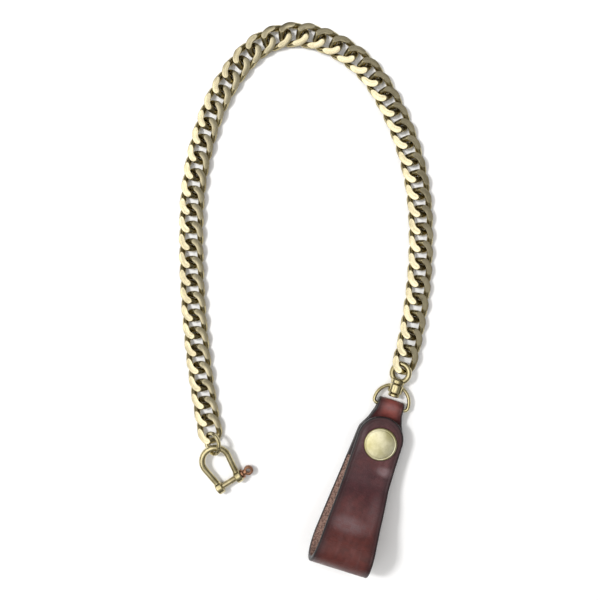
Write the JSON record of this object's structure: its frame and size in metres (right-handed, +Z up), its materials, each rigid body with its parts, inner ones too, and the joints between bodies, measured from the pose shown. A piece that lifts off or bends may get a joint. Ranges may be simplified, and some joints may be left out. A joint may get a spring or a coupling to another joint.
{
  "type": "wallet chain",
  "caption": "Flat-ground brass curb chain with a swivel D-ring on a snap-closed leather belt loop at one end and a jump ring with a bow shackle and screw pin at the other.",
  "frame": {"origin": "on the floor below the middle of the bounding box, with the chain laid out in its arch", "axes": "+Y along the belt loop, from its lower bend towards the D-ring and the top of the arch; +X across the loop; +Z up from the floor"},
  "size_m": [0.1322, 0.2242, 0.02],
  "materials": {
    "chain_brass": "polished flat-ground faces, satin round sides",
    "cast_brass": "satin cast, lightly worn",
    "wire_brass": "satin drawn wire",
    "pin_brass": "darker, oxidised",
    "snap_brass": "brushed, lightly domed",
    "snap_inner": "plain",
    "leather": "waxed reddish brown, dark burnished edges"
  },
  "bodies": {
    "strap_back": {"strap_back": "leather", "snap_stud": "snap_inner", "snap_post": "snap_inner"},
    "strap_front": {"strap_front": "leather", "snap_cap": "snap_brass", "snap_socket": "snap_inner"},
    "d_ring": {"d_ring": "cast_brass"},
    "swivel_eye": {"swivel_eye": "cast_brass"},
    "chain_link_01": {"chain_link_01": "chain_brass"},
    "chain_link_02": {"chain_link_02": "chain_brass"},
    "chain_link_03": {"chain_link_03": "chain_brass"},
    "chain_link_04": {"chain_link_04": "chain_brass"},
    "chain_link_05": {"chain_link_05": "chain_brass"},
    "chain_link_06": {"chain_link_06": "chain_brass"},
    "chain_link_07": {"chain_link_07": "chain_brass"},
    "chain_link_08": {"chain_link_08": "chain_brass"},
    "chain_link_09": {"chain_link_09": "chain_brass"},
    "chain_link_10": {"chain_link_10": "chain_brass"},
    "chain_link_11": {"chain_link_11": "chain_brass"},
    "chain_link_12": {"chain_link_12": "chain_brass"},
    "chain_link_13": {"chain_link_13": "chain_brass"},
    "chain_link_14": {"chain_link_14": "chain_brass"},
    "chain_link_15": {"chain_link_15": "chain_brass"},
    "chain_link_16": {"chain_link_16": "chain_brass"},
    "chain_link_17": {"chain_link_17": "chain_brass"},
    "chain_link_18": {"chain_link_18": "chain_brass"},
    "chain_link_19": {"chain_link_19": "chain_brass"},
    "chain_link_20": {"chain_link_20": "chain_brass"},
    "chain_link_21": {"chain_link_21": "chain_brass"},
    "chain_link_22": {"chain_link_22": "chain_brass"},
    "chain_link_23": {"chain_link_23": "chain_brass"},
    "chain_link_24": {"chain_link_24": "chain_brass"},
    "chain_link_25": {"chain_link_25": "chain_brass"},
    "chain_link_26": {"chain_link_26": "chain_brass"},
    "chain_link_27": {"chain_link_27": "chain_brass"},
    "chain_link_28": {"chain_link_28": "chain_brass"},
    "chain_link_29": {"chain_link_29": "chain_brass"},
    "chain_link_30": {"chain_link_30": "chain_brass"},
    "chain_link_31": {"chain_link_31": "chain_brass"},
    "chain_link_32": {"chain_link_32": "chain_brass"},
    "chain_link_33": {"chain_link_33": "chain_brass"},
    "chain_link_34": {"chain_link_34": "chain_brass"},
    "chain_link_35": {"chain_link_35": "chain_brass"},
    "chain_link_36": {"chain_link_36": "chain_brass"},
    "chain_link_37": {"chain_link_37": "chain_brass"},
    "chain_link_38": {"chain_link_38": "chain_brass"},
    "chain_link_39": {"chain_link_39": "chain_brass"},
    "chain_link_40": {"chain_link_40": "chain_brass"},
    "chain_link_41": {"chain_link_41": "chain_brass"},
    "chain_link_42": {"chain_link_42": "chain_brass"},
    "chain_link_43": {"chain_link_43": "chain_brass"},
    "chain_link_44": {"chain_link_44": "chain_brass"},
    "chain_link_45": {"chain_link_45": "chain_brass"},
    "chain_link_46": {"chain_link_46": "chain_brass"},
    "chain_link_47": {"chain_link_47": "chain_brass"},
    "chain_link_48": {"chain_link_48": "chain_brass"},
    "jump_ring": {"jump_ring": "wire_brass"},
    "shackle_bow": {"shackle_bow": "cast_brass"},
    "shackle_pin": {"shackle_pin": "pin_brass"}
  },
  "joints": [
    {"name": "flap_open", "type": "hinge", "parent": "strap_back", "child": "strap_front", "pos_m": [0.05377, -0.1121, 0.01], "axis": [1, 0, 0], "range_deg": [0, 100]},
    {"name": "d_ring_swing", "type": "hinge", "parent": "strap_back", "child": "d_ring", "pos_m": [0.05377, -0.0391, 0.00325], "axis": [1, 0, 0], "range_deg": [-60, 90]},
    {"name": "swivel_turn", "type": "hinge", "parent": "d_ring", "child": "swivel_eye", "pos_m": [0.05377, -0.0329, 0.00325], "axis": [0, 1, 0], "continuous": true},
    {"name": "pin_withdraw", "type": "slide", "parent": "shackle_bow", "child": "shackle_pin", "axis": [0.6508, 0.7593, 0], "range_m": [0, 0.0135]},
    {"name": "shackle_swing", "type": "hinge", "parent": "jump_ring", "child": "shackle_bow", "pos_m": [-0.01684, -0.08124, 0.0045], "axis": [0.6508, 0.7593, 0], "range_deg": [-4, 35]},
    {"name": "jump_ring_turn", "type": "hinge", "parent": "chain_link_48", "child": "jump_ring", "pos_m": [-0.01685, -0.07723, 0.00269], "axis": [0.71, 0.3436, -0.6146], "range_deg": [-20, 20]},
    {"name": "link_01_bend", "type": "hinge", "parent": "swivel_eye", "child": "chain_link_01", "pos_m": [0.05417, -0.0212, 0.00325], "axis": [0, 0, 1], "range_deg": [-10, 10]},
    {"name": "link_02_bend", "type": "hinge", "parent": "chain_link_01", "child": "chain_link_02", "pos_m": [0.0538, -0.01343, 0.00288], "axis": [-0.9965, -0.0837, 0], "range_deg": [-10.9, 10.9]},
    {"name": "link_03_bend", "type": "hinge", "parent": "chain_link_02", "child": "chain_link_03", "pos_m": [0.05315, -0.00567, 0.00252], "axis": [0, 0, -1], "range_deg": [-15.9, 20.1]},
    {"name": "link_04_bend", "type": "hinge", "parent": "chain_link_03", "child": "chain_link_04", "pos_m": [0.05222, 0.00205, 0.00215], "axis": [0.9877, 0.1564, 0], "range_deg": [-10.9, 10.9]},
    {"name": "link_05_bend", "type": "hinge", "parent": "chain_link_04", "child": "chain_link_05", "pos_m": [0.051, 0.00975, 0.00215], "axis": [0, 0, 1], "range_deg": [-20.1, 15.9]},
    {"name": "link_06_bend", "type": "hinge", "parent": "chain_link_05", "child": "chain_link_06", "pos_m": [0.0495, 0.01739, 0.00215], "axis": [-0.9736, -0.2284, 0], "range_deg": [-10.9, 10.9]},
    {"name": "link_07_bend", "type": "hinge", "parent": "chain_link_06", "child": "chain_link_07", "pos_m": [0.04772, 0.02497, 0.00215], "axis": [0, 0, -1], "range_deg": [-11, 20.1]},
    {"name": "link_08_bend", "type": "hinge", "parent": "chain_link_07", "child": "chain_link_08", "pos_m": [0.04566, 0.03249, 0.00215], "axis": [0.9542, 0.299, 0], "range_deg": [-10.9, 10.9]},
    {"name": "link_09_bend", "type": "hinge", "parent": "chain_link_08", "child": "chain_link_09", "pos_m": [0.04333, 0.03992, 0.00215], "axis": [0, 0, 1], "range_deg": [-20.1, 11]},
    {"name": "link_10_bend", "type": "hinge", "parent": "chain_link_09", "child": "chain_link_10", "pos_m": [0.04074, 0.04727, 0.00215], "axis": [-0.9191, -0.3939, 0], "range_deg": [-10.2, 10.2]},
    {"name": "link_11_bend", "type": "hinge", "parent": "chain_link_10", "child": "chain_link_11", "pos_m": [0.03767, 0.05443, 0.00215], "axis": [0, 0, -1], "range_deg": [-11, 21.7]},
    {"name": "link_12_bend", "type": "hinge", "parent": "chain_link_11", "child": "chain_link_12", "pos_m": [0.03414, 0.06137, 0.00215], "axis": [0.8607, 0.509, 0], "range_deg": [-10.2, 10.2]},
    {"name": "link_13_bend", "type": "hinge", "parent": "chain_link_12", "child": "chain_link_13", "pos_m": [0.03018, 0.06808, 0.00215], "axis": [0, 0, 1], "range_deg": [-21.7, 11]},
    {"name": "link_14_bend", "type": "hinge", "parent": "chain_link_13", "child": "chain_link_14", "pos_m": [0.02579, 0.07451, 0.00215], "axis": [-0.788, -0.6157, 0], "range_deg": [-10.2, 10.2]},
    {"name": "link_15_bend", "type": "hinge", "parent": "chain_link_14", "child": "chain_link_15", "pos_m": [0.02099, 0.08065, 0.00215], "axis": [0, 0, -1], "range_deg": [-11, 21.7]},
    {"name": "link_16_bend", "type": "hinge", "parent": "chain_link_15", "child": "chain_link_16", "pos_m": [0.01581, 0.08647, 0.00215], "axis": [0.7022, 0.712, 0], "range_deg": [-10.2, 10.2]},
    {"name": "link_17_bend", "type": "hinge", "parent": "chain_link_16", "child": "chain_link_17", "pos_m": [0.01026, 0.09194, 0.00215], "axis": [0, 0, 1], "range_deg": [-21.7, 8.5]},
    {"name": "link_18_bend", "type": "hinge", "parent": "chain_link_17", "child": "chain_link_18", "pos_m": [0.00437, 0.09704, 0.00215], "axis": [-0.5299, -0.848, 0], "range_deg": [-7.5, 7.5]},
    {"name": "link_19_bend", "type": "hinge", "parent": "chain_link_18", "child": "chain_link_19", "pos_m": [-0.00223, 0.10117, 0.00215], "axis": [0, 0, -1], "range_deg": [-8, 26.9]},
    {"name": "link_20_bend", "type": "hinge", "parent": "chain_link_19", "child": "chain_link_20", "pos_m": [-0.0094, 0.10422, 0.00215], "axis": [0.2453, 0.9694, 0], "range_deg": [-7.5, 7.5]},
    {"name": "link_21_bend", "type": "hinge", "parent": "chain_link_20", "child": "chain_link_21", "pos_m": [-0.01695, 0.10613, 0.00215], "axis": [0, 0, 1], "range_deg": [-26.9, 9.1]},
    {"name": "link_22_bend", "type": "hinge", "parent": "chain_link_21", "child": "chain_link_22", "pos_m": [-0.02471, 0.10685, 0.00215], "axis": [0.0628, -0.998, 0], "range_deg": [-7.5, 7.5]},
    {"name": "link_23_bend", "type": "hinge", "parent": "chain_link_22", "child": "chain_link_23", "pos_m": [-0.03248, 0.10636, 0.00215], "axis": [0, 0, -1], "range_deg": [-2.7, 33.3]},
    {"name": "link_24_bend", "type": "hinge", "parent": "chain_link_23", "child": "chain_link_24", "pos_m": [-0.03985, 0.10384, 0.00215], "axis": [-0.5621, 0.8271, 0], "range_deg": [-4.3, 4.3]},
    {"name": "link_25_bend", "type": "hinge", "parent": "chain_link_24", "child": "chain_link_25", "pos_m": [-0.0463, 0.09946, 0.00215], "axis": [0, 0, 1], "range_deg": [-33.3, 2.7]},
    {"name": "link_26_bend", "type": "hinge", "parent": "chain_link_25", "child": "chain_link_26", "pos_m": [-0.05135, 0.09354, 0.00215], "axis": [0.9048, -0.4258, 0], "range_deg": [-4.3, 4.3]},
    {"name": "link_27_bend", "type": "hinge", "parent": "chain_link_26", "child": "chain_link_27", "pos_m": [-0.05467, 0.08649, 0.00215], "axis": [0, 0, -1], "range_deg": [-12.4, 23.6]},
    {"name": "link_28_bend", "type": "hinge", "parent": "chain_link_27", "child": "chain_link_28", "pos_m": [-0.05728, 0.07915, 0.00215], "axis": [-0.9703, 0.2419, 0], "range_deg": [-9.2, 9.2]},
    {"name": "link_29_bend", "type": "hinge", "parent": "chain_link_28", "child": "chain_link_29", "pos_m": [-0.05917, 0.07159, 0.00215], "axis": [0, 0, 1], "range_deg": [-23.6, 12.4]},
    {"name": "link_30_bend", "type": "hinge", "parent": "chain_link_29", "child": "chain_link_30", "pos_m": [-0.06031, 0.06389, 0.00215], "axis": [0.9988, -0.0489, 0], "range_deg": [-9.2, 9.2]},
    {"name": "link_31_bend", "type": "hinge", "parent": "chain_link_30", "child": "chain_link_31", "pos_m": [-0.06069, 0.05611, 0.00215], "axis": [0, 0, -1], "range_deg": [-14.8, 21.2]},
    {"name": "link_32_bend", "type": "hinge", "parent": "chain_link_31", "child": "chain_link_32", "pos_m": [-0.06063, 0.04831, 0.00215], "axis": [-0.998, -0.0628, 0], "range_deg": [-10.4, 10.4]},
    {"name": "link_33_bend", "type": "hinge", "parent": "chain_link_32", "child": "chain_link_33", "pos_m": [-0.06014, 0.04054, 0.00215], "axis": [0, 0, 1], "range_deg": [-21.2, 14.8]},
    {"name": "link_34_bend", "type": "hinge", "parent": "chain_link_33", "child": "chain_link_34", "pos_m": [-0.05922, 0.03281, 0.00215], "axis": [0.9848, 0.1736, 0], "range_deg": [-10.4, 10.4]},
    {"name": "link_35_bend", "type": "hinge", "parent": "chain_link_34", "child": "chain_link_35", "pos_m": [-0.05787, 0.02513, 0.00215], "axis": [0, 0, -1], "range_deg": [-14.8, 21.2]},
    {"name": "link_36_bend", "type": "hinge", "parent": "chain_link_35", "child": "chain_link_36", "pos_m": [-0.05609, 0.01755, 0.00215], "axis": [-0.9593, -0.2823, 0], "range_deg": [-10.4, 10.4]},
    {"name": "link_37_bend", "type": "hinge", "parent": "chain_link_36", "child": "chain_link_37", "pos_m": [-0.05389, 0.01008, 0.00215], "axis": [0, 0, 1], "range_deg": [-19, 17]},
    {"name": "link_38_bend", "type": "hinge", "parent": "chain_link_37", "child": "chain_link_38", "pos_m": [-0.05156, 0.00264, 0.00215], "axis": [0.9489, 0.3156, 0], "range_deg": [-11.5, 11.5]},
    {"name": "link_39_bend", "type": "hinge", "parent": "chain_link_38", "child": "chain_link_39", "pos_m": [-0.0491, -0.00475, 0.00215], "axis": [0, 0, -1], "range_deg": [-17, 19]},
    {"name": "link_40_bend", "type": "hinge", "parent": "chain_link_39", "child": "chain_link_40", "pos_m": [-0.04651, -0.0121, 0.00215], "axis": [-0.9373, -0.3486, 0], "range_deg": [-11.5, 11.5]},
    {"name": "link_41_bend", "type": "hinge", "parent": "chain_link_40", "child": "chain_link_41", "pos_m": [-0.0438, -0.0194, 0.00215], "axis": [0, 0, 1], "range_deg": [-19, 17]},
    {"name": "link_42_bend", "type": "hinge", "parent": "chain_link_41", "child": "chain_link_42", "pos_m": [-0.04096, -0.02665, 0.00215], "axis": [0.9245, 0.3811, 0], "range_deg": [-11.5, 11.5]},
    {"name": "link_43_bend", "type": "hinge", "parent": "chain_link_42", "child": "chain_link_43", "pos_m": [-0.03799, -0.03385, 0.00215], "axis": [0, 0, -1], "range_deg": [-17, 19]},
    {"name": "link_44_bend", "type": "hinge", "parent": "chain_link_43", "child": "chain_link_44", "pos_m": [-0.03489, -0.041, 0.00215], "axis": [-0.9107, -0.4131, 0], "range_deg": [-11.5, 11.5]},
    {"name": "link_45_bend", "type": "hinge", "parent": "chain_link_44", "child": "chain_link_45", "pos_m": [-0.03168, -0.0481, 0.00215], "axis": [0, 0, 1], "range_deg": [-19, 17]},
    {"name": "link_46_bend", "type": "hinge", "parent": "chain_link_45", "child": "chain_link_46", "pos_m": [-0.02833, -0.05513, 0.00215], "axis": [0.8957, 0.4446, 0], "range_deg": [-11.5, 11.5]},
    {"name": "link_47_bend", "type": "hinge", "parent": "chain_link_46", "child": "chain_link_47", "pos_m": [-0.02487, -0.06211, 0.00215], "axis": [0, 0, -1], "range_deg": [-17, 19]},
    {"name": "link_48_bend", "type": "hinge", "parent": "chain_link_47", "child": "chain_link_48", "pos_m": [-0.02129, -0.06903, 0.00215], "axis": [-0.8796, -0.4756, 0], "range_deg": [-11.5, 11.5]}
  ]
}
